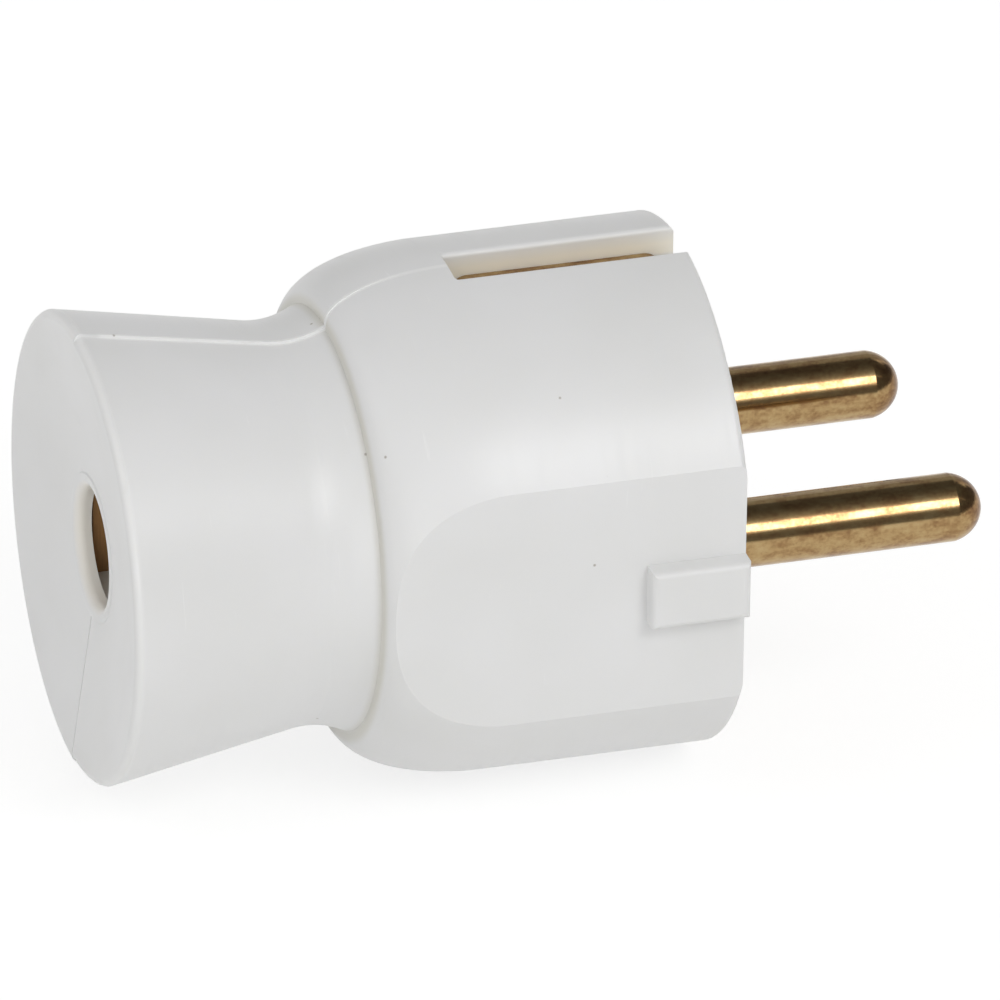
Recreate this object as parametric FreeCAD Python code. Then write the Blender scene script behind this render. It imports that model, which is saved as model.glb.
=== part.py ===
import FreeCAD, Part
import math
import os
from FreeCAD import Vector

# Rewirable two-pin earthed mains plug with a straight cord outlet.
# X runs along the plug towards the pin tips, Z points to the upper earth contact,
# and Y crosses from the near pin to the far pin. The origin is the centre of the
# engagement face, so the housing lies on the negative side of X.

# Pins, which set the width of everything around them
pin_spacing = 19.0
pin_radius = 2.4
pin_length = 19.0
pin_tip_length = 2.6
pin_tip_swell = 0.04
pin_root_radius = 2.6
pin_collar_radius = 3.1
pin_collar_distance = 3.4
pin_collar_length = 1.3
terminal_radius = 3.5
terminal_end = 14.5
wire_hole_radius = 1.5
wire_hole_depth = 6.5
terminal_screw_distance = 11.0
barrel_wall = 0.7
fit_gap = 0.12
pin_hole_gap = 0.05

# Body, the part that enters the socket
barrel_to_flat = 0.18
flat_wall = 2.2
flat_depth = 2.3
body_wall = 2.3
rim_round = 0.5
shoulder_start = 16.65
neck_distance = 25.5
neck_radius = 15.2
neck_step = 0.23

# Cord grip behind the neck
waist_distance = 28.6
waist_radius = 14.2
waist_curve = 6.5
flare_slope = 0.179
grip_end = 43.35
grip_edge_round = 0.6
parting_step = 0.22

# Dished cord end with its hole
dish_depth = 1.35
cord_hole_radius = 4.2
cord_lip_round = 0.75
cord_ring_radius = 5.3
cord_ring_height = 0.1
cord_wall = 1.15
seam_groove_width = 0.16
seam_groove_depth = 0.1

# Inside of the housing
shell_wall = 2.1
shoulder_bore_end = 19.5
neck_bore_start = 24.5
neck_bore_end = 29.5
neck_wall = 1.75
holding_rib_start = 5.0
holding_rib_width = 1.5
holding_rib_height = 1.4

# Raised keys on the side flats
key_length = 7.05
key_width = 4.3
key_height = 1.6
key_round = 0.45

# Earth contact strip and its slots
slot_length = 16.8
slot_width = 3.6
slot_corner_round = 0.25
slot_edge_round = 0.35
slot_depth = 1.85
strip_width = 3.4
strip_thickness = 0.8
strip_front = 0.9
strip_bridge_distance = 16.2
strip_lip_length = 1.6
strip_outer_bend = 1.3
bridge_width = 8.0
bridge_top = 13.6
bridge_bottom = 5.0

# Pin carrier
carrier_disc = 4.9
carrier_flange = 1.4
barrel_end = 14.0
land_floor = 6.4
core_window = 4.4

# Female earth contact
earth_offset = 10.0
earth_bore_radius = 2.45
earth_wall = 0.65
earth_front = 1.6
earth_bore_end = 13.5
earth_slit = 0.6
earth_slit_length = 7.0
earth_tenon_radius = 1.8
earth_rivet_radius = 2.6
earth_rivet_height = 0.6
earth_mouth_radius = 3.0

# Screws
screw_radius = 1.5
screw_head_radius = 2.8
screw_head_height = 1.8
screw_head_bevel = 0.3
driver_slot_width = 0.7
driver_slot_depth = 0.9
screw_hole_gap = 0.15
housing_screw_distance = 29.6
housing_screw_height = 8.0
housing_boss_radius = 3.3
housing_screw_reach = 7.5
nut_half_width = 2.6
nut_thickness = 2.2
nut_depth = 4.0
earth_washer_half = 3.75
earth_washer_thickness = 0.8
earth_screw_reach = 3.0

# Cord clamp
clamp_start = 33.7
clamp_gap_to_wall = 0.2
clamp_channel_radius = 4.5
clamp_channel_wall = 0.9
clamp_end_wall = 1.2
clamp_saddle_depth = 6.6
clamp_saddle_top = 4.6
clamp_strip_thickness = 1.5
clamp_corner_round = 0.6
cradle_margin = 1.0

# Lengths past a face, so that a cut goes right through
over = 1.0

pin_offset = pin_spacing / 2
carrier_bore_flat = pin_offset + terminal_radius + fit_gap + barrel_wall + barrel_to_flat
flat_distance = carrier_bore_flat + flat_wall
body_radius = flat_distance + flat_depth
carrier_bore_radius = body_radius - body_wall
neck_bore_radius = waist_radius - parting_step - neck_wall
strip_outer_height = body_radius - slot_depth
strip_inner_height = strip_outer_height - strip_thickness
clamp_screw_offset = clamp_channel_radius + clamp_channel_wall + screw_radius
clamp_half_width = clamp_screw_offset + screw_radius + clamp_end_wall
face_dish_x = -(grip_end - dish_depth)
wall_inside_x = face_dish_x + cord_wall
NEAR = -1
FAR = 1


def at(x, radius):
    """Point of a profile, x along the axis and the radius up Z."""
    return Vector(x, 0, radius)


def box(x_low, x_high, y_low, y_high, z_low, z_high):
    corner = Vector(x_low, y_low, z_low)
    return Part.makeBox(x_high - x_low, y_high - y_low, z_high - z_low, corner)


def rod_x(radius, x_low, x_high, y=0.0, z=0.0):
    return Part.makeCylinder(radius, x_high - x_low, Vector(x_low, y, z), Vector(1, 0, 0))


def rod_y(radius, y_low, y_high, x, z):
    return Part.makeCylinder(radius, y_high - y_low, Vector(x, y_low, z), Vector(0, 1, 0))


def rod_z(radius, z_low, z_high, x, y):
    return Part.makeCylinder(radius, z_high - z_low, Vector(x, y, z_low), Vector(0, 0, 1))


def line(start, end):
    return Part.LineSegment(start, end).toShape()


def arc(start, middle, end):
    return Part.Arc(start, middle, end).toShape()


def quarter_ellipse(centre_x, centre_r, reach_x, reach_r, from_deg, to_deg):
    """Arc of an ellipse in the profile plane, angles measured from +X towards +Z."""
    long_along_x = reach_x >= reach_r
    major = Vector(centre_x + reach_x, 0, centre_r) if long_along_x else Vector(centre_x, 0, centre_r + reach_r)
    minor = Vector(centre_x, 0, centre_r + reach_r) if long_along_x else Vector(centre_x - reach_x, 0, centre_r)
    ellipse = Part.Ellipse(major, minor, Vector(centre_x, 0, centre_r))
    turn = 0.0 if long_along_x else 90.0
    first = math.radians(from_deg - turn)
    last = math.radians(to_deg - turn)
    return Part.ArcOfEllipse(ellipse, first, last).toShape()


def revolved(edges, degrees=360.0):
    """Turn a closed profile about the plug's axis."""
    wire = Part.Wire(Part.__sortEdges__(edges))
    return Part.Face(wire).revolve(Vector(0, 0, 0), Vector(1, 0, 0), degrees)


def flare_radius(distance):
    """Radius of the grip at a distance from the face, behind the waist's curve."""
    tangent_length = waist_curve * math.tan(math.atan(flare_slope) / 2)
    return waist_radius + flare_slope * (distance - waist_distance - tangent_length)


def housing_outline(inset):
    """Edges of the outer profile. The near half is smaller by the inset at the neck and grip."""
    angle = math.atan(flare_slope)
    lip_r = neck_radius - inset
    neck_r = lip_r - neck_step
    waist_r = waist_radius - inset
    rim_edge = at(-rim_round, body_radius)
    diagonal = rim_round * (1 - math.sqrt(0.5))
    face_edge = at(0, body_radius - rim_round)
    shoulder = at(-shoulder_start, body_radius)
    lip = at(-neck_distance, lip_r)
    neck = at(-neck_distance, neck_r)
    waist = at(-waist_distance, waist_r)

    neck_run = waist_distance - neck_distance
    neck_rise = neck_r - waist_r
    neck_curve = (neck_run ** 2 + neck_rise ** 2) / (2 * neck_rise)
    half_turn = math.asin(neck_run / neck_curve) / 2
    neck_middle = at(-waist_distance + neck_curve * math.sin(half_turn),
                     waist_r + neck_curve * (1 - math.cos(half_turn)))

    curve_middle = at(-waist_distance - waist_curve * math.sin(angle / 2),
                      waist_r + waist_curve * (1 - math.cos(angle / 2)))
    curve_end = at(-waist_distance - waist_curve * math.sin(angle),
                   waist_r + waist_curve * (1 - math.cos(angle)))

    round_distance = grip_end - grip_edge_round * (1 - math.sin(angle))
    edge_r = flare_radius(round_distance) - inset
    centre = at(-round_distance + grip_edge_round * math.sin(angle), edge_r - grip_edge_round * math.cos(angle))
    turned = (angle + math.pi / 2) / 2
    edge_start = at(-round_distance, edge_r)
    edge_middle = centre + Vector(-math.sin(turned) * grip_edge_round, 0, math.cos(turned) * grip_edge_round)
    edge_end = centre + Vector(-grip_edge_round, 0, 0)

    ring_out = at(face_dish_x, cord_ring_radius)
    ring_top = at(face_dish_x - cord_ring_height, cord_ring_radius - cord_ring_height)
    return [
        line(at(0, 0), face_edge),
        arc(face_edge, at(-diagonal, body_radius - diagonal), rim_edge),
        line(rim_edge, shoulder),
        quarter_ellipse(-shoulder_start, lip_r, neck_distance - shoulder_start, body_radius - lip_r, 90, 180),
        line(lip, neck),
        arc(neck, neck_middle, waist),
        arc(waist, curve_middle, curve_end),
        line(curve_end, edge_start),
        arc(edge_start, edge_middle, edge_end),
        line(edge_end, ring_out),
        line(ring_out, ring_top),
        line(ring_top, at(face_dish_x - cord_ring_height, 0)),
        line(at(face_dish_x - cord_ring_height, 0), at(0, 0)),
    ]


def housing_cavity():
    """Space inside both shells, with the flats that key the carrier."""
    rear_r = flare_radius(-wall_inside_x) - shell_wall
    points = [
        at(over, 0), at(over, carrier_bore_radius), at(-shoulder_bore_end, carrier_bore_radius),
        at(-neck_bore_start, neck_bore_radius), at(-neck_bore_end, neck_bore_radius),
        at(wall_inside_x, rear_r), at(wall_inside_x, 0), at(over, 0),
    ]
    hollow = Part.Face(Part.makePolygon(points)).revolve(Vector(0, 0, 0), Vector(1, 0, 0), 360)
    between_flats = box(-grip_end, over, -carrier_bore_flat, carrier_bore_flat, -body_radius, body_radius)
    return hollow.common(between_flats)


def keyed_disc(radius, flat, x_low, x_high):
    """Round disc with the two side flats of the carrier bore."""
    disc = rod_x(radius, x_low, x_high)
    return disc.common(box(x_low, x_high, -flat, flat, -radius, radius))


def cord_hole():
    """Hole for the cord with its rounded lip."""
    start = face_dish_x - cord_ring_height
    lip_radius = cord_hole_radius + cord_lip_round
    diagonal = cord_lip_round * (1 - math.sqrt(0.5))
    edges = [
        line(at(start - over, 0), at(start - over, lip_radius)),
        line(at(start - over, lip_radius), at(start, lip_radius)),
        arc(at(start, lip_radius), at(start + diagonal, cord_hole_radius + diagonal),
            at(start + cord_lip_round, cord_hole_radius)),
        line(at(start + cord_lip_round, cord_hole_radius), at(wall_inside_x + over, cord_hole_radius)),
        line(at(wall_inside_x + over, cord_hole_radius), at(wall_inside_x + over, 0)),
        line(at(wall_inside_x + over, 0), at(start - over, 0)),
    ]
    return revolved(edges)


def slot_mouth_edges(half, surface, radius):
    """Outline of the slot's mouth across the plug, with a round edge on each side."""
    floor = carrier_bore_radius - holding_rib_height - over
    top = body_radius + over
    diagonal = radius * (1 - math.sqrt(0.5))
    edges = [line(Vector(0, -half, floor), Vector(0, half, floor))]
    for side in (1, -1):
        low = Vector(0, side * half, surface - radius)
        middle = Vector(0, side * (half + diagonal), surface - diagonal)
        high = Vector(0, side * (half + radius), surface)
        edges.append(line(Vector(0, side * half, floor), low))
        edges.append(arc(low, middle, high))
        edges.append(line(high, Vector(0, side * (half + radius), top)))
    edges.append(line(Vector(0, -half - radius, top), Vector(0, half + radius, top)))
    return edges


def earth_slot(side):
    """Open slot above or below the carrier that shows the earth strip."""
    half = slot_width / 2
    surface = math.sqrt(body_radius ** 2 - (half + slot_edge_round) ** 2)
    wire = Part.Wire(Part.__sortEdges__(slot_mouth_edges(half, surface, slot_edge_round)))
    slot = Part.Face(wire).extrude(Vector(slot_length + over, 0, 0))
    slot.translate(Vector(-slot_length, 0, 0))
    corners = [e for e in slot.Edges if abs(e.CenterOfMass.x + slot_length) < 1e-6
               and abs(abs(e.CenterOfMass.y) - half) < 1e-6]
    slot = slot.makeFillet(slot_corner_round, corners)
    if side < 0:
        slot = slot.mirror(Vector(0, 0, 0), Vector(0, 0, 1))
    return slot


def side_key(side):
    """Raised key in the middle of a side flat, level with the face."""
    reach = flat_distance + key_height
    block = box(-key_length, 0, carrier_bore_flat + fit_gap, reach, -key_width / 2, key_width / 2)
    outer = [e for e in block.Edges if e.CenterOfMass.y > reach - 1e-6]
    block = block.makeFillet(key_round, outer)
    if side < 0:
        block = block.mirror(Vector(0, 0, 0), Vector(0, 1, 0))
    return block


def holding_rib():
    """Ring inside the shells that holds the carrier between its disc and flange."""
    low = -holding_rib_start - holding_rib_width
    high = -holding_rib_start
    outer = keyed_disc(carrier_bore_radius + over / 2, carrier_bore_flat + over / 2, low, high)
    inner_r = carrier_bore_radius - holding_rib_height
    inner = keyed_disc(inner_r, carrier_bore_flat - holding_rib_height, low - over, high + over)
    barrel_r = terminal_radius + 2 * fit_gap + barrel_wall
    beside_barrels = box(low - over, high + over, -body_radius, body_radius, -barrel_r, barrel_r)
    return outer.cut(inner).cut(beside_barrels)


def cradle():
    """Rib behind the clamp saddle, from the saddle out to the near wall of the grip."""
    start = wall_inside_x + clamp_gap_to_wall + cradle_margin
    end = -clamp_start - cradle_margin
    wall_r = flare_radius(clamp_start) - shell_wall / 2
    return rod_x(wall_r, start, end).common(
        box(start, end, -wall_r, -clamp_saddle_depth, -clamp_half_width, clamp_half_width))


def seam_groove():
    """Fine groove along the joint of the two shells, below the cord hole."""
    edge_r = flare_radius(grip_end) - parting_step - grip_edge_round
    depth = seam_groove_depth
    points = [
        Vector(face_dish_x + depth, 0, -cord_ring_radius),
        Vector(-grip_end + depth, 0, -edge_r),
        Vector(-grip_end - over, 0, -edge_r),
        Vector(-grip_end - over, 0, -cord_ring_radius),
        Vector(face_dish_x + depth, 0, -cord_ring_radius),
    ]
    plate = Part.Face(Part.makePolygon(points)).extrude(Vector(0, seam_groove_width, 0))
    plate.translate(Vector(0, -seam_groove_width / 2, 0))
    return plate


def housing_boss(side, height):
    """Screw boss from the grip's wall to the joint plane."""
    wall_y = neck_bore_radius + shell_wall / 2
    low = 0 if side > 0 else -wall_y
    high = wall_y if side > 0 else 0
    boss = rod_y(housing_boss_radius, low, high, -housing_screw_distance, height)
    within = rod_x(neck_bore_radius + shell_wall / 2, -housing_screw_distance - housing_boss_radius,
                   -neck_bore_start)
    return boss.common(within)


def housing_shell(side):
    """One half of the housing: half a body and half a grip in one moulding."""
    inset = parting_step if side == NEAR else 0.0
    shell = revolved(housing_outline(inset), -180.0 * side)
    beyond = body_radius + over
    flat_cut = box(-neck_distance, over, flat_distance, beyond, -beyond, beyond)
    if side == NEAR:
        flat_cut = flat_cut.mirror(Vector(0, 0, 0), Vector(0, 1, 0))
    shell = shell.cut(flat_cut)
    shell = shell.fuse(side_key(side))
    shell = shell.cut(housing_cavity())

    joint_side = box(-grip_end, 0, 0, beyond, -beyond, beyond)
    if side == NEAR:
        joint_side = joint_side.mirror(Vector(0, 0, 0), Vector(0, 1, 0))
    inner = holding_rib().fuse(cradle()).common(joint_side)
    shell = shell.fuse(inner)
    for height in (housing_screw_height, -housing_screw_height):
        shell = shell.fuse(housing_boss(side, height))
    for slot_side in (1, -1):
        shell = shell.cut(earth_slot(slot_side))
    shell = shell.cut(cord_hole()).cut(seam_groove())

    for height in (housing_screw_height, -housing_screw_height):
        x = -housing_screw_distance
        if side == FAR:
            hole = rod_y(screw_radius + screw_hole_gap, -over, beyond, x, height)
            head_hole = rod_y(screw_head_radius + screw_hole_gap, housing_screw_reach, beyond, x, height)
            shell = shell.cut(hole).cut(head_hole)
        else:
            hole = rod_y(screw_radius + screw_hole_gap, -housing_screw_reach, over, x, height)
            pocket = nut_blank(height, over)
            shell = shell.cut(hole).cut(pocket)
    return shell.removeSplitter()


def nut_blank(height, towards_joint):
    """Square of a housing nut, or its pocket where it runs on past the joint."""
    half = nut_half_width
    x = -housing_screw_distance
    y_low = -nut_depth - nut_thickness
    y_high = towards_joint if towards_joint > 0 else -nut_depth
    return box(x - half, x + half, y_low, y_high, height - half, height + half)


def housing_nut(height):
    hole = rod_y(screw_radius, -nut_depth - nut_thickness - over, over, -housing_screw_distance, height)
    return nut_blank(height, 0.0).cut(hole)


def driver_slot(radius, depth, x_low, axis):
    """Screwdriver slot, made at the origin for a head whose top is at x_low on its own axis."""
    half = driver_slot_width / 2
    if axis == "z":
        return box(-radius - over, radius + over, -half, half, x_low - depth, x_low + over)
    return box(x_low - over, x_low + depth, -radius - over, radius + over, -half, half)


def cheese_screw(shank_length):
    """Slotted cheese-head screw along Z, with the underside of its head at the origin."""
    shank = rod_z(screw_radius, -shank_length, 0, 0, 0)
    head = rod_z(screw_head_radius, 0, screw_head_height, 0, 0)
    top_edge = [e for e in head.Edges if e.CenterOfMass.z > screw_head_height - 1e-6]
    head = head.makeChamfer(screw_head_bevel, top_edge)
    slot = driver_slot(screw_head_radius, driver_slot_depth, screw_head_height, "z")
    return shank.fuse(head).cut(slot).removeSplitter()


def housing_screw(height):
    length = housing_screw_reach + nut_depth + nut_thickness
    screw = cheese_screw(length)
    screw.rotate(Vector(0, 0, 0), Vector(1, 0, 0), -90)
    screw.translate(Vector(-housing_screw_distance, housing_screw_reach, height))
    return screw


def contact_pin(side):
    """Turned brass pin: rounded tip, collar against the carrier, and a screw terminal behind."""
    tip_swell_r = pin_radius + pin_tip_swell
    share = pin_radius / tip_swell_r
    start_deg = math.degrees(math.asin(share))
    tip_centre = pin_length - pin_tip_length
    tip_start = tip_centre + pin_tip_length * math.cos(math.radians(start_deg))
    collar_back = -pin_collar_distance - pin_collar_length
    edges = [
        line(at(-terminal_end, 0), at(-terminal_end, terminal_radius)),
        line(at(-terminal_end, terminal_radius), at(collar_back, terminal_radius)),
        line(at(collar_back, terminal_radius), at(collar_back, pin_collar_radius)),
        line(at(collar_back, pin_collar_radius), at(-pin_collar_distance, pin_collar_radius)),
        line(at(-pin_collar_distance, pin_collar_radius), at(-pin_collar_distance, pin_root_radius)),
        line(at(-pin_collar_distance, pin_root_radius), at(0, pin_root_radius)),
        line(at(0, pin_root_radius), at(0, pin_radius)),
        line(at(0, pin_radius), at(tip_start, pin_radius)),
        quarter_ellipse(tip_centre, 0, pin_tip_length, tip_swell_r, 0, start_deg),
        line(at(pin_length, 0), at(-terminal_end, 0)),
    ]
    pin = revolved(edges)
    wire_hole = rod_x(wire_hole_radius, -terminal_end - over, -terminal_end + wire_hole_depth)
    screw_hole = rod_z(screw_radius, 0, terminal_radius + over, -terminal_screw_distance, 0)
    pin = pin.cut(wire_hole).cut(screw_hole)
    pin.translate(Vector(0, side * pin_offset, 0))
    return pin


def terminal_screw(side):
    """Screw that presses the wire in a pin's terminal."""
    screw = cheese_screw(terminal_radius - wire_hole_radius / 2)
    screw.translate(Vector(-terminal_screw_distance, side * pin_offset, terminal_radius + fit_gap))
    return screw


def pin_carrier():
    """Moulded insert that holds both pins, the earth strip and the female earth contact."""
    outer_r = carrier_bore_radius - fit_gap
    outer_flat = carrier_bore_flat - fit_gap
    flange_front = -holding_rib_start - holding_rib_width - fit_gap
    core_r = carrier_bore_radius - holding_rib_height - fit_gap
    core_flat = carrier_bore_flat - holding_rib_height - fit_gap
    disc = keyed_disc(outer_r, outer_flat, -carrier_disc, 0)
    core = keyed_disc(core_r, core_flat, flange_front - carrier_flange, -carrier_disc)
    flange = keyed_disc(outer_r, outer_flat, flange_front - carrier_flange, flange_front)
    carrier = disc.fuse(core).fuse(flange)

    barrel_r = terminal_radius + fit_gap + barrel_wall
    for side in (NEAR, FAR):
        carrier = carrier.fuse(rod_x(barrel_r, -barrel_end, -carrier_disc, side * pin_offset))
    hub_r = earth_bore_radius + earth_wall + fit_gap + barrel_wall
    carrier = carrier.fuse(rod_x(hub_r, -barrel_end, -carrier_disc, 0, earth_offset))
    bridge_front = -strip_bridge_distance + strip_thickness
    for side in (1, -1):
        low = land_floor if side > 0 else -strip_inner_height
        high = strip_inner_height if side > 0 else -land_floor
        carrier = carrier.fuse(box(bridge_front, -carrier_disc, -strip_width / 2, strip_width / 2, low, high))

    slot_half = slot_width / 2
    for side in (1, -1):
        low = strip_inner_height if side > 0 else -body_radius
        high = body_radius if side > 0 else -strip_inner_height
        carrier = carrier.cut(box(-slot_length, over, -slot_half, slot_half, low, high))
        lip_low = strip_inner_height - strip_lip_length - fit_gap
        notch = box(-strip_front - strip_thickness - fit_gap, -strip_front + fit_gap, -slot_half, slot_half,
                    lip_low, body_radius)
        if side < 0:
            notch = notch.mirror(Vector(0, 0, 0), Vector(0, 0, 1))
        carrier = carrier.cut(notch)

    for side in (NEAR, FAR):
        y = side * pin_offset
        carrier = carrier.cut(rod_x(pin_root_radius + pin_hole_gap, -carrier_disc, over, y))
        carrier = carrier.cut(rod_x(terminal_radius + fit_gap, -barrel_end - over, -pin_collar_distance, y))
        window = box(-barrel_end - over, -terminal_screw_distance + screw_head_radius + fit_gap,
                     y - barrel_r, y + barrel_r, terminal_radius * 0.5, body_radius)
        window = window.common(box(-barrel_end - over, 0, y - screw_head_radius - fit_gap,
                                   y + screw_head_radius + fit_gap, 0, body_radius))
        carrier = carrier.cut(window)

    carrier = carrier.cut(rod_x(earth_mouth_radius, -earth_front, over, 0, earth_offset))
    sleeve_r = earth_bore_radius + earth_wall + fit_gap
    carrier = carrier.cut(rod_x(sleeve_r, bridge_front, -earth_front, 0, earth_offset))
    rear = flange_front - carrier_flange - over
    carrier = carrier.cut(box(rear, -carrier_disc, -core_window, core_window, -core_window, core_window))
    return carrier.cut(earth_strip()).removeSplitter()


def earth_strip():
    """One strip of brass bent to a U: two legs in the slots and a bridge behind the carrier."""
    back = -strip_bridge_distance
    half = strip_width / 2
    outer = box(back, -strip_front, -half, half, -strip_outer_height, strip_outer_height)
    corners = [e for e in outer.Edges if abs(e.CenterOfMass.y) < 1e-6 and abs(abs(e.CenterOfMass.z)
               - strip_outer_height) < 1e-6 and e.Length < strip_width + 1e-3]
    outer = outer.makeFillet(strip_outer_bend, corners)
    inner_bend = strip_outer_bend - strip_thickness
    inner = box(back + strip_thickness, -strip_front - strip_thickness, -half - over, half + over,
                -strip_inner_height, strip_inner_height)
    inner_corners = [e for e in inner.Edges if abs(e.CenterOfMass.y) < 1e-6 and abs(abs(e.CenterOfMass.z)
                     - strip_inner_height) < 1e-6 and e.Length < strip_width + 3 * over]
    inner = inner.makeFillet(inner_bend, inner_corners)
    strip = outer.cut(inner)
    lip = strip_inner_height - strip_lip_length
    strip = strip.cut(box(-strip_front - strip_thickness - over / 2, over, -half - over, half + over, -lip, lip))

    wide = box(back, back + strip_thickness, -bridge_width / 2, bridge_width / 2, -bridge_bottom, bridge_top)
    wide_edges = [e for e in wide.Edges if abs(e.Length - strip_thickness) < 1e-6]
    wide = wide.makeFillet(strip_width / 2, wide_edges)
    strip = strip.fuse(wide)
    strip = strip.cut(rod_x(earth_tenon_radius, back - over, back + strip_thickness + over, 0, earth_offset))
    strip = strip.cut(rod_x(screw_radius, back - over, back + strip_thickness + over))
    return strip.removeSplitter()


def earth_socket():
    """Slit brass sleeve that takes a round earth pin, riveted to the strip's bridge."""
    outer_r = earth_bore_radius + earth_wall
    back = -strip_bridge_distance
    seat = back + strip_thickness
    sleeve = rod_x(outer_r, seat, -earth_front)
    tenon = rod_x(earth_tenon_radius, back, seat)
    rivet = rod_x(earth_rivet_radius, back - earth_rivet_height, back)
    bore = rod_x(earth_bore_radius, -earth_bore_end, 0)
    socket = sleeve.fuse(tenon).fuse(rivet).cut(bore)
    half = earth_slit / 2
    slit = box(-earth_front - earth_slit_length, 0, -half, half, -outer_r - over, outer_r + over)
    socket = socket.cut(slit)
    socket.translate(Vector(0, 0, earth_offset))
    return socket.removeSplitter()


def earth_washer():
    """Square washer with two turned-up cheeks that hold the earth wire."""
    back = -strip_bridge_distance
    half = earth_washer_half
    thick = earth_washer_thickness
    plate = box(back - thick, back, -half, half, -half, half)
    for side in (1, -1):
        y_low = half - thick if side > 0 else -half
        plate = plate.fuse(box(back - 2 * thick, back, y_low, y_low + thick, -half, half))
    return plate.cut(rod_x(screw_radius + screw_hole_gap, back - 3 * thick, back + over)).removeSplitter()


def earth_terminal_screw():
    screw = cheese_screw(strip_thickness + earth_washer_thickness + earth_screw_reach)
    screw.rotate(Vector(0, 0, 0), Vector(0, 1, 0), -90)
    screw.translate(Vector(-strip_bridge_distance - earth_washer_thickness, 0, 0))
    return screw


def clamp_block(y_low, y_high, hole_radius):
    """Block across the grip with rounded corners and two screw holes, for saddle and strip."""
    start = wall_inside_x + clamp_gap_to_wall
    end = -clamp_start
    block = box(start, end, y_low, y_high, -clamp_half_width, clamp_half_width)
    corners = [e for e in block.Edges if abs(e.Length - (end - start)) < 1e-6]
    block = block.makeFillet(clamp_corner_round, corners)
    for end_sign in (1, -1):
        z = end_sign * clamp_screw_offset
        block = block.cut(rod_y(hole_radius, y_low - over, y_high + over, (start + end) / 2, z))
    return block


def clamp_saddle():
    """Saddle with a round-bottomed channel for the cord, open towards the far shell."""
    saddle = clamp_block(-clamp_saddle_depth, clamp_saddle_top, screw_radius)
    start = wall_inside_x + clamp_gap_to_wall - over
    end = -clamp_start + over
    mouth = box(start, end, 0, clamp_saddle_top + over, -clamp_channel_radius, clamp_channel_radius)
    return saddle.cut(rod_x(clamp_channel_radius, start, end).fuse(mouth)).removeSplitter()


def clamp_strip():
    """Flat strip across the mouth of the saddle that presses on the cord."""
    return clamp_block(clamp_saddle_top, clamp_saddle_top + clamp_strip_thickness,
                       screw_radius + screw_hole_gap)


def clamp_screw(end_sign):
    x = (wall_inside_x + clamp_gap_to_wall - clamp_start) / 2
    head_seat = clamp_saddle_top + clamp_strip_thickness
    screw = cheese_screw(head_seat + clamp_saddle_depth - over)
    screw.rotate(Vector(0, 0, 0), Vector(1, 0, 0), -90)
    screw.translate(Vector(x, head_seat, end_sign * clamp_screw_offset))
    return screw


def all_nodes():
    """Every piece of the plug by its name."""
    return {
        "near_shell": housing_shell(NEAR),
        "far_shell": housing_shell(FAR),
        "pin_carrier": pin_carrier(),
        "near_pin": contact_pin(NEAR),
        "far_pin": contact_pin(FAR),
        "near_terminal_screw": terminal_screw(NEAR),
        "far_terminal_screw": terminal_screw(FAR),
        "earth_strip": earth_strip(),
        "earth_socket": earth_socket(),
        "earth_washer": earth_washer(),
        "earth_terminal_screw": earth_terminal_screw(),
        "clamp_saddle": clamp_saddle(),
        "clamp_strip": clamp_strip(),
        "upper_clamp_screw": clamp_screw(1),
        "lower_clamp_screw": clamp_screw(-1),
        "upper_housing_screw": housing_screw(housing_screw_height),
        "lower_housing_screw": housing_screw(-housing_screw_height),
        "upper_housing_nut": housing_nut(housing_screw_height),
        "lower_housing_nut": housing_nut(-housing_screw_height),
    }


def main():
    os.makedirs("parts", exist_ok=True)
    for name, shape in all_nodes().items():
        shape.exportStep("parts/" + name + ".step")
        print(name, "solids", len(shape.Solids), "valid", shape.isValid(), "volume", round(shape.Volume, 2))


main()
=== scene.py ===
# %% [markdown]
# # A rewirable mains plug in white plastic with brass pins
# The plug's pieces come from a CAD model that is already at its real size, in metres. This lesson
# leaves every one of those shapes alone and gives each a finish: moulded plastic, turned brass,
# rolled brass strip, zinc-plated steel and vulcanised fibre. X runs along the plug to the pin
# tips, Z points up, and the camera looks from the near side, a little behind and above.

# %% Load the frame
import math

import bpy
from mathutils import Matrix, Vector


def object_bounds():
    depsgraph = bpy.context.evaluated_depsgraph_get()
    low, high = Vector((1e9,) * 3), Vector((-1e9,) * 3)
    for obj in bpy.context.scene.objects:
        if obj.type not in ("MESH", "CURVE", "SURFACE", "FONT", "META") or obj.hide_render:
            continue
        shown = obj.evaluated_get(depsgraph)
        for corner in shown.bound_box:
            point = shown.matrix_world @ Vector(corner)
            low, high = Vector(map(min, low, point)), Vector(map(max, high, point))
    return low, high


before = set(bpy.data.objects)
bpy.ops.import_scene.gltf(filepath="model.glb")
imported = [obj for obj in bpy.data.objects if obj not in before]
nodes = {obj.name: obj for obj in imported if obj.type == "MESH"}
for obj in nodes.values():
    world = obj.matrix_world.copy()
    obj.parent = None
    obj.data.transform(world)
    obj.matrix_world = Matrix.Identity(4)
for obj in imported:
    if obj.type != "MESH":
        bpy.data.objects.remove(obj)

cad_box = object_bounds()
MM = 0.001
print("pieces from CAD:", len(nodes))

# %% [markdown]
# ## Small helpers
# Colours are written as the eye reads them on a screen, so one function turns a hex value into the
# linear light that Blender counts in. A second function adds a shader node, sets its inputs and
# joins the wires that lead into it, which keeps each material short enough to read like a recipe.

# %% Helpers for colours
def linear(hex_colour):
    """Linear RGBA of an sRGB hex colour such as 'f2efe6'."""
    parts = [int(hex_colour[i:i + 2], 16) / 255 for i in (0, 2, 4)]
    light = [p / 12.92 if p <= 0.04045 else ((p + 0.055) / 1.055) ** 2.4 for p in parts]
    return (*light, 1.0)


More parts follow.
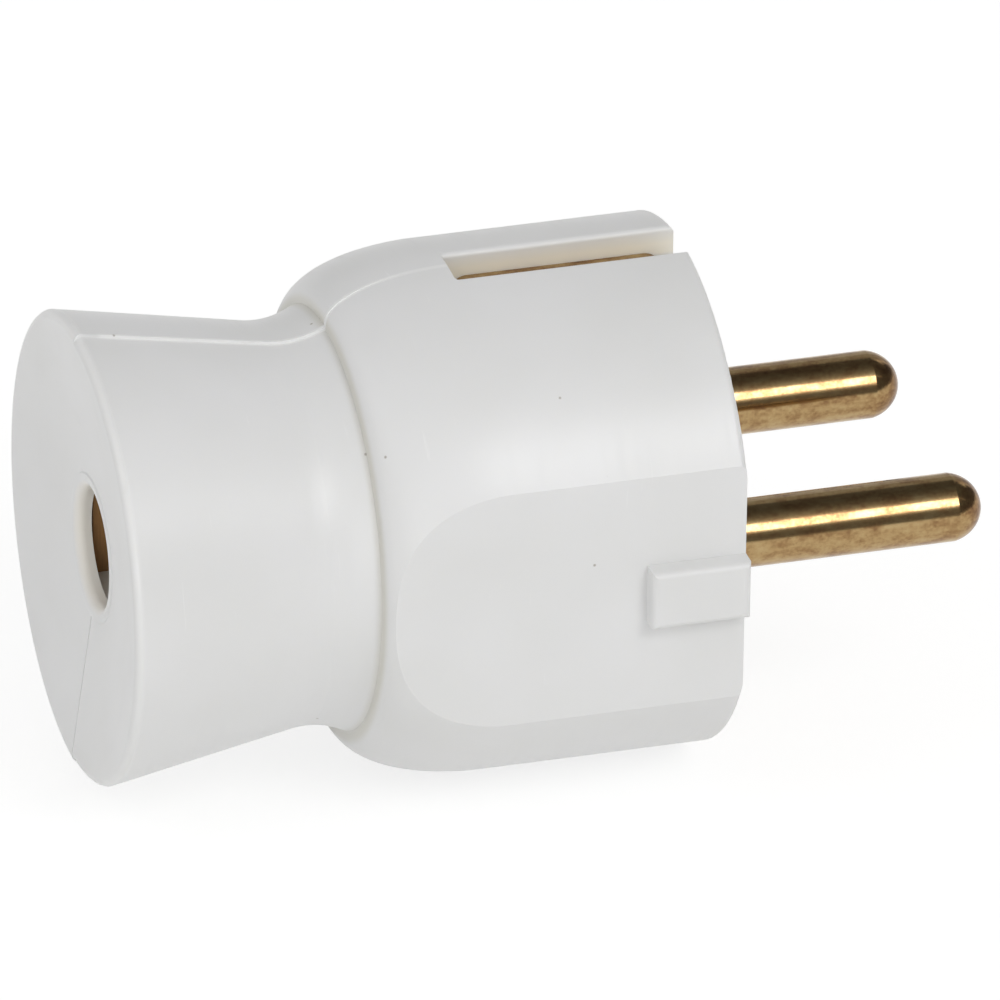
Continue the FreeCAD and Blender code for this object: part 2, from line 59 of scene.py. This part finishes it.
def grey(value):
    """Grey RGBA of one linear value."""
    return (value, value, value, 1.0)


print("hex 808080 in linear light:", round(linear("808080")[0], 3))

# %% Helpers for materials
def node(tree, kind, settings=None, stops=None, **inputs):
    """Add a node with its settings, its links and, on a colour ramp, its (place, colour) stops.

    Each input is a value or another node's socket. Its keyword is the socket's name, with _ for a
    space, or i and the socket's number where the name is used twice.
    """
    made = tree.nodes.new(kind)
    for name, value in (settings or {}).items():
        setattr(made, name, value)
    if stops:
        elements = made.color_ramp.elements
        while len(elements) < len(stops):
            elements.new(0.5)
        for element, (place, colour) in zip(elements, stops):
            element.position, element.color = place, colour
    for name, value in inputs.items():
        key = int(name[1:]) if name[0] == "i" and name[1:].isdigit() else name.replace("_", " ")
        if isinstance(value, bpy.types.NodeSocket):
            tree.links.new(value, made.inputs[key])
        else:
            made.inputs[key].default_value = value
    return made


def new_material(name):
    """Empty material with its node tree and its Principled shader."""
    material = bpy.data.materials.new(name)
    material.use_nodes = True
    return material, material.node_tree, material.node_tree.nodes["Principled BSDF"]


def dress(piece_names, material):
    """Give CAD pieces one material."""
    for name in piece_names:
        slots = nodes[name].data.materials
        slots.clear()
        slots.append(material)
    print(material.name, "on", ", ".join(piece_names))


# %% [markdown]
# ## Painted light and shade on the housing
# The housing is not one even white. Painted light tints the walls of the earth slots and the wall
# of the cord hole cream, painted shade darkens the neck's crease, and painted highlights make the
# parting line and the grip's rim paler. Each patch could be painted on an image, but then it would
# need an unwrapped mesh. Here it is bounded by measures of the place on the part, so that it stays
# where it is from any side.

# %% Where the painted light and shade lie
# Each patch of painted light or shade is a tint, the kind of edge that it has, and the fades
# that bound it. A fade is a measure with the value, in mm, where the patch has gone and the
# value where it is full.
HOUSING_PAINTED_LIGHT = {
    # Painted light: the walls of the earth slots are tinted a bright cream, as if lit by the brass.
    "painted brass light on the earth slot walls": ("fdf8ea", "LINEAR", [
        ("out", 18.3, 17.2), ("out", 16.2, 16.5), ("side", 2.3, 2.0), ("along", -17.2, -16.9)]),
    # Painted shade: the neck's crease is darkened.
    "painted shade in the neck's crease": ("dddbd3", "SMOOTHSTEP", [("crease", 0.8, 0.1)]),
    # Painted highlight: a paler line along the parting line of the shells.
    "painted highlight on the parting line": ("f3f3f2", "LINEAR", [("side", 0.3, 0.1), ("along", -41.8, -41.4)]),
    # Painted highlight: the rim of the grip is tinted paler.
    "painted highlight on the grip's rim": ("efefee", "LINEAR", [
        ("radius", 16.0, 16.3), ("along", -42.65, -43.0)]),
    # Painted light: the wall of the cord hole is tinted cream, as light through the plastic would
    # make it.
    "painted light on the cord hole's wall": ("fbf7ee", "LINEAR", [
        ("radius", 4.75, 4.25), ("along", -37.0, -37.5)]),
}
NECK_CREASE = (-25.5 * MM, 15.1 * MM, 0.0)  # its place along the plug and its radius


def measures(tree, place):
    """Place along the plug, and distances from its middle planes, its axis and the crease."""
    along, across, up = node(tree, "ShaderNodeSeparateXYZ", Vector=place).outputs
    side = node(tree, "ShaderNodeMath", {"operation": "ABSOLUTE"}, i0=across).outputs[0]
    out = node(tree, "ShaderNodeMath", {"operation": "ABSOLUTE"}, i0=up).outputs[0]
    level = node(tree, "ShaderNodeCombineXYZ", Y=across, Z=up).outputs[0]
    radius = node(tree, "ShaderNodeVectorMath", {"operation": "LENGTH"}, i0=level).outputs["Value"]
    profile = node(tree, "ShaderNodeCombineXYZ", X=along, Y=radius).outputs[0]
    crease = node(tree, "ShaderNodeVectorMath", {"operation": "DISTANCE"}, i0=profile,
                  i1=NECK_CREASE).outputs["Value"]
    return {"along": along, "side": side, "out": out, "radius": radius, "crease": crease}


# The mask of one patch of painted light or shade.
def painted_light_mask(tree, where, edge, fades):
    """1 where every fade is full, 0 where one has gone."""
    mask = None
    for measure, gone, full in fades:
        fade = node(tree, "ShaderNodeMapRange", {"interpolation_type": edge}, Value=where[measure],
                    i1=gone * MM, i2=full * MM).outputs[0]
        if mask is None:
            mask = fade
        else:
            mask = node(tree, "ShaderNodeMath", {"operation": "MULTIPLY"},
                        i0=mask, i1=fade).outputs[0]
    return mask


print("marks:", ", ".join(HOUSING_PAINTED_LIGHT))

# %% [markdown]
# ## The housing: white thermoplastic, injection moulded
# The two shells are satin white plastic. A polished mould leaves a skin that is nearly smooth, with
# a faint orange peel a few millimetres across and a finer grain below it, and the flow of the
# plastic leaves clouds that the eye hardly sees. Handling leaves a few duller scuffs, which are
# also painted paler as a painted highlight, and pinhead specks of dirt. A little light goes in and
# comes out again nearby, which softens the shading.

# %% Satin white plastic
FLOW, PEEL, GRAIN = 14 * MM, 3.2 * MM, 0.35 * MM  # sizes of the clouds, orange peel and grain
SPECK_GAP, SPECK_RADIUS = 3.8 * MM, 0.13 * MM
SPECK_EDGE = SPECK_RADIUS / SPECK_GAP  # in cells of the pattern
SCUFF_AND_SHEEN_WIDTH, SCUFF_AND_SHEEN_LENGTH = 0.4 * MM, 6 * MM
SCUFF_AND_SHEEN_TURN = (0.3, 0.8, 0.5)  # radians, so that scuffs follow no edge of the plug


def moulded_white(name, hex_white, hex_shade, roughness, painted_light=None):
    """White moulded plastic with clouds, painted light and shade, specks, scuffs with a painted
    highlight, orange peel and grain.
    """
    material, tree, shader = new_material(name)
    place = node(tree, "ShaderNodeTexCoord").outputs["Object"]
    flow = node(tree, "ShaderNodeTexNoise", Vector=place, Scale=1 / FLOW, Detail=2.0).outputs[0]
    colour = node(tree, "ShaderNodeValToRGB", i0=flow, stops=[
        (0.35, linear(hex_shade)), (0.65, linear(hex_white))]).outputs[0]
    where = measures(tree, place) if painted_light else None
    # Each patch of painted light or shade mixes its tint into the colour.
    for tint, edge, fades in (painted_light or {}).values():
        colour = node(tree, "ShaderNodeMix", {"data_type": "RGBA"}, i6=colour, i7=linear(tint),
                      Factor=painted_light_mask(tree, where, edge, fades)).outputs[2]

    cell = node(tree, "ShaderNodeTexVoronoi", {"feature": "F1"}, Vector=place,
                Scale=1 / SPECK_GAP, Randomness=1.0).outputs["Distance"]
    speck = node(tree, "ShaderNodeValToRGB", i0=cell, stops=[
        (0.0, grey(0.9)), (0.5 * SPECK_EDGE, grey(0.8)), (SPECK_EDGE, grey(0))]).outputs[0]
    colour = node(tree, "ShaderNodeMix", {"data_type": "RGBA"}, Factor=speck, i6=colour,
                  i7=linear("a8a298")).outputs[2]

    stretched = node(tree, "ShaderNodeMapping", Vector=place, Rotation=SCUFF_AND_SHEEN_TURN, Scale=(
        1 / SCUFF_AND_SHEEN_WIDTH, 1 / SCUFF_AND_SHEEN_LENGTH, 1 / SCUFF_AND_SHEEN_LENGTH)).outputs[0]
    scuff_and_sheen = node(tree, "ShaderNodeTexNoise", Vector=stretched, Scale=1.0, Detail=3.0).outputs[0]
    # Painted highlight: the scuffs are painted paler than the plastic, and below they are also made
    # duller.
    painted_sheen = node(tree, "ShaderNodeValToRGB", i0=scuff_and_sheen, stops=[
        (0.71, grey(0)), (0.81, grey(0.5))]).outputs[0]
    colour = node(tree, "ShaderNodeMix", {"data_type": "RGBA"}, Factor=painted_sheen, i6=colour,
                  i7=linear("f8f8f7")).outputs[2]
    tree.links.new(colour, shader.inputs["Base Color"])
    duller = node(tree, "ShaderNodeValToRGB", i0=scuff_and_sheen, stops=[
        (0.55, grey(roughness)), (0.75, grey(roughness + 0.12))]).outputs[0]
    tree.links.new(duller, shader.inputs["Roughness"])

    grain = node(tree, "ShaderNodeTexNoise", Vector=place, Scale=1 / GRAIN, Detail=2.0).outputs[0]
    peel = node(tree, "ShaderNodeTexNoise", Vector=place, Scale=1 / PEEL, Detail=1.0).outputs[0]
    height = node(tree, "ShaderNodeMix", Factor=0.25, A=peel, B=grain).outputs[0]
    bump = node(tree, "ShaderNodeBump", Height=height, Strength=0.1, Distance=0.05 * MM).outputs[0]
    tree.links.new(bump, shader.inputs["Normal"])
    shader.inputs["IOR"].default_value = 1.5
    shader.inputs["Subsurface Weight"].default_value = 0.06
    shader.inputs["Subsurface Radius"].default_value = (1.0, 0.9, 0.7)
    shader.inputs["Subsurface Scale"].default_value = 0.8 * MM
    return material


housing_plastic = moulded_white("moulded_white_plastic_and_painted_light", "ebebeb", "e7e7e6", 0.34, HOUSING_PAINTED_LIGHT)
insert_plastic = moulded_white("moulded_insert_plastic", "e6e4de", "e0ded7", 0.42)
dress(["near_shell", "far_shell"], housing_plastic)
dress(["pin_carrier", "clamp_saddle"], insert_plastic)

# %% [markdown]
# ## The pins: turned brass, handled and a little tarnished
# Brass is copper with zinc. Turning leaves it smooth with rings around it far finer than the eye
# sees, and pushing the pin into sockets draws hairline scratches along it. Skin oils tarnish it in
# soft patches from pale gold to coppery brown, most of all on the rounded tip. The scratches are
# drawn coarser than they are, a tenth of a millimetre wide, so that they show in a render. The
# earth strip and the earth socket are rolled from the same brass and are a little duller.

# %% Turned and rolled brass
PATCH_LENGTH, PATCH_WIDTH, MOTTLE = 1.7 * MM, 0.9 * MM, 0.25 * MM
SCRATCH_LENGTH, SCRATCH_WIDTH = 9 * MM, 0.1 * MM
PIN_TIP = (16.4 * MM, 18.8 * MM)  # where the tip's tarnish starts and where it is full
NO_TIP = (40.0 * MM, 42.4 * MM)  # past the end of the plug


def worn_brass(name, roughness, tip):
    """Brass with patches of tarnish, hairline scratches along X and a darker tip."""
    material, tree, shader = new_material(name)
    place = node(tree, "ShaderNodeTexCoord").outputs["Object"]
    drawn = node(tree, "ShaderNodeMapping", Vector=place, Scale=(
        1 / PATCH_LENGTH, 1 / PATCH_WIDTH, 1 / PATCH_WIDTH)).outputs[0]
    cloud = node(tree, "ShaderNodeTexNoise", Vector=drawn, Scale=1.0, Detail=5.0,
                 Roughness=0.6).outputs[0]
    mottle = node(tree, "ShaderNodeTexNoise", Vector=place, Scale=1 / MOTTLE,
                  Detail=3.0).outputs[0]
    patches = node(tree, "ShaderNodeMix", Factor=0.25, A=cloud, B=mottle).outputs[0]
    along = node(tree, "ShaderNodeSeparateXYZ", Vector=place).outputs["X"]
    darker = node(tree, "ShaderNodeMapRange", Value=along, i1=tip[0], i2=tip[1], i3=0.0,
                  i4=0.16).outputs[0]
    tarnish = node(tree, "ShaderNodeMath", {"operation": "ADD"}, i0=patches, i1=darker).outputs[0]
    colour = node(tree, "ShaderNodeValToRGB", i0=tarnish, stops=[
        (0.36, linear("b69d72")), (0.48, linear("ab8f64")),
        (0.58, linear("987852")), (0.7, linear("7c5d40"))]).outputs[0]
    tree.links.new(colour, shader.inputs["Base Color"])
    duller = node(tree, "ShaderNodeValToRGB", i0=tarnish, stops=[
        (0.45, grey(roughness)), (0.75, grey(roughness + 0.1))]).outputs[0]
    tree.links.new(duller, shader.inputs["Roughness"])

    lengthwise = node(tree, "ShaderNodeMapping", Vector=place, Scale=(
        1 / SCRATCH_LENGTH, 1 / SCRATCH_WIDTH, 1 / SCRATCH_WIDTH)).outputs[0]
    scratch = node(tree, "ShaderNodeTexNoise", Vector=lengthwise, Scale=1.0,
                   Detail=2.0).outputs[0]
    height = node(tree, "ShaderNodeMix", Factor=0.5, A=scratch, B=mottle).outputs[0]
    bump = node(tree, "ShaderNodeBump", Height=height, Strength=0.12,
                Distance=0.01 * MM).outputs[0]
    tree.links.new(bump, shader.inputs["Normal"])
    shader.inputs["Metallic"].default_value = 1.0
    return material


dress(["near_pin", "far_pin"], worn_brass("turned_brass", 0.16, PIN_TIP))
dress(["earth_strip", "earth_socket"], worn_brass("rolled_brass_strip", 0.28, NO_TIP))

# %% [markdown]
# ## Screws, nuts and washer: zinc-plated steel
# Zinc plating turns steel a pale, slightly blue grey with a soft shine. Its surface is a fine
# spangle, so the colour and the roughness wander a little over half a millimetre.

# %% Zinc-plated steel
SPANGLE = 0.5 * MM


def zinc_plated(name):
    """Steel under a thin coat of zinc, spangled."""
    material, tree, shader = new_material(name)
    place = node(tree, "ShaderNodeTexCoord").outputs["Object"]
    spangle = node(tree, "ShaderNodeTexNoise", Vector=place, Scale=1 / SPANGLE,
                   Detail=3.0).outputs[0]
    colour = node(tree, "ShaderNodeValToRGB", i0=spangle, stops=[
        (0.3, linear("b4b7ba")), (0.7, linear("cfd1d2"))]).outputs[0]
    tree.links.new(colour, shader.inputs["Base Color"])
    dull = node(tree, "ShaderNodeValToRGB", i0=spangle, stops=[
        (0.3, grey(0.28)), (0.7, grey(0.42))]).outputs[0]
    tree.links.new(dull, shader.inputs["Roughness"])
    bump = node(tree, "ShaderNodeBump", Height=spangle, Strength=0.15,
                Distance=0.02 * MM).outputs[0]
    tree.links.new(bump, shader.inputs["Normal"])
    shader.inputs["Metallic"].default_value = 1.0
    return material


dress(["near_terminal_screw", "far_terminal_screw", "earth_washer", "earth_terminal_screw",
       "upper_clamp_screw", "lower_clamp_screw", "upper_housing_screw", "lower_housing_screw",
       "upper_housing_nut", "lower_housing_nut"], zinc_plated("zinc_plated_steel"))

# %% [markdown]
# ## The clamp strip: vulcanised fibre
# Vulcanised fibre is paper pressed to a horn-like board. It is brown, dull and lightly fibrous,
# and its fibres run along the strip. They are drawn a fifth of a millimetre wide, coarser than
# they are, so that they show.

# %% Vulcanised fibre
FIBRE_WIDTH, FIBRE_LENGTH = 0.2 * MM, 2.5 * MM


def pressed_fibre(name):
    """Brown pressed board with fibres along Z."""
    material, tree, shader = new_material(name)
    place = node(tree, "ShaderNodeTexCoord").outputs["Object"]
    along = node(tree, "ShaderNodeMapping", Vector=place, Scale=(
        1 / FIBRE_WIDTH, 1 / FIBRE_WIDTH, 1 / FIBRE_LENGTH)).outputs[0]
    fibres = node(tree, "ShaderNodeTexNoise", Vector=along, Scale=1.0, Detail=4.0).outputs[0]
    colour = node(tree, "ShaderNodeValToRGB", i0=fibres, stops=[
        (0.3, linear("8c6439")), (0.7, linear("a67b48"))]).outputs[0]
    tree.links.new(colour, shader.inputs["Base Color"])
    bump = node(tree, "ShaderNodeBump", Height=fibres, Strength=0.3,
                Distance=0.03 * MM).outputs[0]
    tree.links.new(bump, shader.inputs["Normal"])
    shader.inputs["Roughness"].default_value = 0.62
    shader.inputs["IOR"].default_value = 1.54
    return material


dress(["clamp_strip"], pressed_fibre("vulcanised_fibre"))

# %% [markdown]
# ## The floor and the white surround
# The photograph shows the plug cut out on plain white. The floor is a sheet of white paper. To the
# camera and in reflections it shows 0.4 of the paper's own light, which carries the plug's shadow,
# and a glow makes up the rest, so that the lit paper is white. The rest of the surround is white to
# the camera and to mirrors, and a soft grey to everything else, so that it doesn't wash out the
# shading.

# %% Floor
FLOOR_SIZE, FLOOR_GAP = 3.0, 0.02 * MM
SHADOW_SHARE = 0.4  # share of the paper's own light that is seen
LIT_PAPER = 0.6  # how bright the lit paper is by itself, where 1 is white


def white_when_seen(tree):
    """1 for rays that come straight from the camera, off a mirror or through glass, or else 0."""
    path = node(tree, "ShaderNodeLightPath").outputs
    seen = node(tree, "ShaderNodeMath", {"operation": "MAXIMUM"}, i0=path["Is Camera Ray"],
                i1=path["Is Glossy Ray"]).outputs[0]
    return node(tree, "ShaderNodeMath", {"operation": "MAXIMUM"}, i0=seen,
                i1=path["Is Transmission Ray"]).outputs[0]


lowest = cad_box[0][2]
bpy.ops.mesh.primitive_plane_add(size=FLOOR_SIZE, location=(0, 0, lowest - FLOOR_GAP))
floor = bpy.context.object
floor.name = "floor"

paper, paper_tree, paper_shader = new_material("white_paper_floor")
paper_shader.inputs["Base Color"].default_value = linear("f4f4f3")
paper_shader.inputs["Roughness"].default_value = 0.9
share = node(paper_tree, "ShaderNodeMath", {"operation": "MULTIPLY"},
             i0=white_when_seen(paper_tree), i1=1 - SHADOW_SHARE).outputs[0]
top_up = (1 - SHADOW_SHARE * LIT_PAPER) / (1 - SHADOW_SHARE)
glow = node(paper_tree, "ShaderNodeEmission", Color=grey(1), Strength=top_up).outputs[0]
paper_mix = node(paper_tree, "ShaderNodeMixShader", i0=share, i1=paper_shader.outputs[0],
                 i2=glow).outputs[0]
paper_tree.links.new(paper_mix, paper_tree.nodes["Material Output"].inputs["Surface"])
floor.data.materials.append(paper)
print("floor at", round(floor.location.z / MM, 2), "mm, glow", round(top_up, 3))

# %% White surround
AMBIENT = 0.52  # strength of the surround's light on the object
world = bpy.data.worlds.new("studio_surround")
bpy.context.scene.world = world
world.use_nodes = True
sky = world.node_tree
sky.nodes.clear()
soft = node(sky, "ShaderNodeBackground", Color=grey(1), Strength=AMBIENT).outputs[0]
white = node(sky, "ShaderNodeBackground", Color=grey(1), Strength=1.0).outputs[0]
both = node(sky, "ShaderNodeMixShader", i0=white_when_seen(sky), i1=soft, i2=white).outputs[0]
node(sky, "ShaderNodeOutputWorld", Surface=both)
print("surround strength on the object:", AMBIENT)

# %% [markdown]
# ## The camera
# A long lens far away keeps the plug's edges nearly parallel, as in the photograph. The three
# directions below are the camera's right, up and back, found by matching the pins, the rim and the
# grip's end, and the distance and angle of view follow from their sizes.

# %% Camera
RIGHT = Vector((0.9588, -0.2836, 0.0140))
UP = Vector((0.1206, 0.4516, 0.8840))
BACK = Vector((-0.2571, -0.8460, 0.4672))
DISTANCE = 1.3
SHIFT_RIGHT, SHIFT_UP = -12.1717 * MM, -1.7328 * MM
PIXELS_PER_MM = 14.4328
HALF_WIDTH = 1000 / 2 / PIXELS_PER_MM * MM  # of a picture 1000 pixels wide

camera_data = bpy.data.cameras.new("camera")
camera_data.sensor_fit = "HORIZONTAL"
camera_data.angle = 2 * math.atan(HALF_WIDTH / DISTANCE)
camera_data.clip_start = 0.05
camera = bpy.data.objects.new("camera", camera_data)
bpy.context.collection.objects.link(camera)
turn = Matrix((RIGHT, UP, BACK)).transposed().to_4x4()
eye = RIGHT * SHIFT_RIGHT + UP * SHIFT_UP + BACK * DISTANCE
camera.matrix_world = Matrix.Translation(eye) @ turn
bpy.context.scene.camera = camera
print("angle of view in degrees:", round(math.degrees(camera_data.angle), 3))

# %% [markdown]
# ## The lamps
# The side that faces the camera is the brightest, and the top and the dished end are a shade
# darker. The main softbox stands to the right of the camera, 40 degrees up, and is the bright line
# along the pins. A low one on the near side fills below it, and one on the left lights the dished
# end.

# %% Lamps
# Name, azimuth and elevation in degrees, width in metres, power in watts. Azimuth 0 is the near
# side and 90 the pins' end.
SOFTBOXES = [
    ("main_softbox", 20, 40, 0.38, 2.3),
    ("low_softbox", -30, 12, 0.5, 1.15),
    ("left_softbox", -75, 42, 0.5, 0.62),
]
AIM = Vector((-0.012, 0, 0))  # the middle of the plug

for name, azimuth, elevation, width, watts in SOFTBOXES:
    data = bpy.data.lights.new(name, "AREA")
    data.size = width
    data.energy = watts
    lamp = bpy.data.objects.new(name, data)
    bpy.context.collection.objects.link(lamp)
    turned, raised = math.radians(azimuth), math.radians(elevation)
    lamp.location = (math.sin(turned) * math.cos(raised), -math.cos(turned) * math.cos(raised),
                     math.sin(raised))
    lamp.rotation_euler = (AIM - lamp.location).to_track_quat("-Z", "Y").to_euler()
    print(name, watts, "W")

# %% [markdown]
# ## Dark cards for the brass
# Polished metal looks like what stands around it. In a room all of white it turns flat, so
# photographers hang dark cards about a shiny thing, and their reflections give it its dark bands
# and crisp highlights. These cards are there for mirror rays alone: the camera doesn't see them
# and they cast no shadow, so the plastic keeps its even light. The one overhead fades towards the
# lamps.

# %% Dark cards
ALONG, AWAY, UPWARD, TOWARDS = (1, 0, 0), (0, 1, 0), (0, 0, 1), (0, -1, 0)
# Name, middle, width and height in metres, the way the card faces, the way its height runs, and
# its brightness at places from 0 to 1 up that height.
CARDS = [
    ("overhead_card", (-0.1, 0.05, 0.7), (1.04, 1.0), UPWARD, AWAY,
     [(0.0, 0.75), (0.09, 0.5), (0.18, 0.32), (0.37, 0.155), (0.57, 0.095), (1.0, 0.11)]),
    ("overhead_tip_card", (0.92, 0.05, 0.7), (1.0, 1.0), UPWARD, AWAY, [(0.0, 0.12), (1.0, 0.1)]),
    ("near_card", (0.075, -0.28, 0.0565), (0.26, 0.149), TOWARDS, UPWARD,
     [(0.0, 0.18), (1.0, 0.2)]),
    ("near_tip_card", (0.86, -0.5, 0.34), (1.0, 0.72), TOWARDS, UPWARD,
     [(0.0, 0.12), (1.0, 0.12)]),
    ("tip_card", (1.3, 0.2, 0.34), (1.5, 0.72), ALONG, UPWARD, [(0.0, 0.14), (1.0, 0.1)]),
    ("rear_card", (0.35, 1.2, 0.75), (2.0, 1.54), AWAY, UPWARD,
     [(0.0, 0.6), (0.17, 0.55), (0.69, 0.38), (1.0, 0.33)]),
]

for name, middle, size, facing, rising, levels in CARDS:
    bpy.ops.mesh.primitive_plane_add(size=1.0, location=middle)
    card = bpy.context.object
    card.name = name
    card.scale = (*size, 1)
    facing, rising = Vector(facing), Vector(rising)
    card.rotation_euler = Matrix((rising.cross(facing), rising, facing)).transposed().to_euler()
    for ray in ("camera", "diffuse", "transmission", "volume_scatter", "shadow"):
        setattr(card, "visible_" + ray, False)
    cloth = bpy.data.materials.new(name + "_cloth")
    cloth.use_nodes = True
    weave = cloth.node_tree
    weave.nodes.clear()
    spread = node(weave, "ShaderNodeTexCoord").outputs["Generated"]
    height = node(weave, "ShaderNodeSeparateXYZ", Vector=spread).outputs["Y"]
    level = node(weave, "ShaderNodeValToRGB", i0=height, stops=[
        (place, grey(value)) for place, value in levels]).outputs[0]
    glow = node(weave, "ShaderNodeEmission", Color=level, Strength=1.0).outputs[0]
    node(weave, "ShaderNodeOutputMaterial", Surface=glow)
    card.data.materials.append(cloth)
print("reflector cards:", len(CARDS))

# %% [markdown]
# ## The view transform
# Nothing above changes a CAD shape, so the dressed plug has to be as large as the CAD model. The
# picture is shown through Blender's Standard view transform.

# %% Set the view transform
bpy.context.scene.view_settings.view_transform = "Standard"
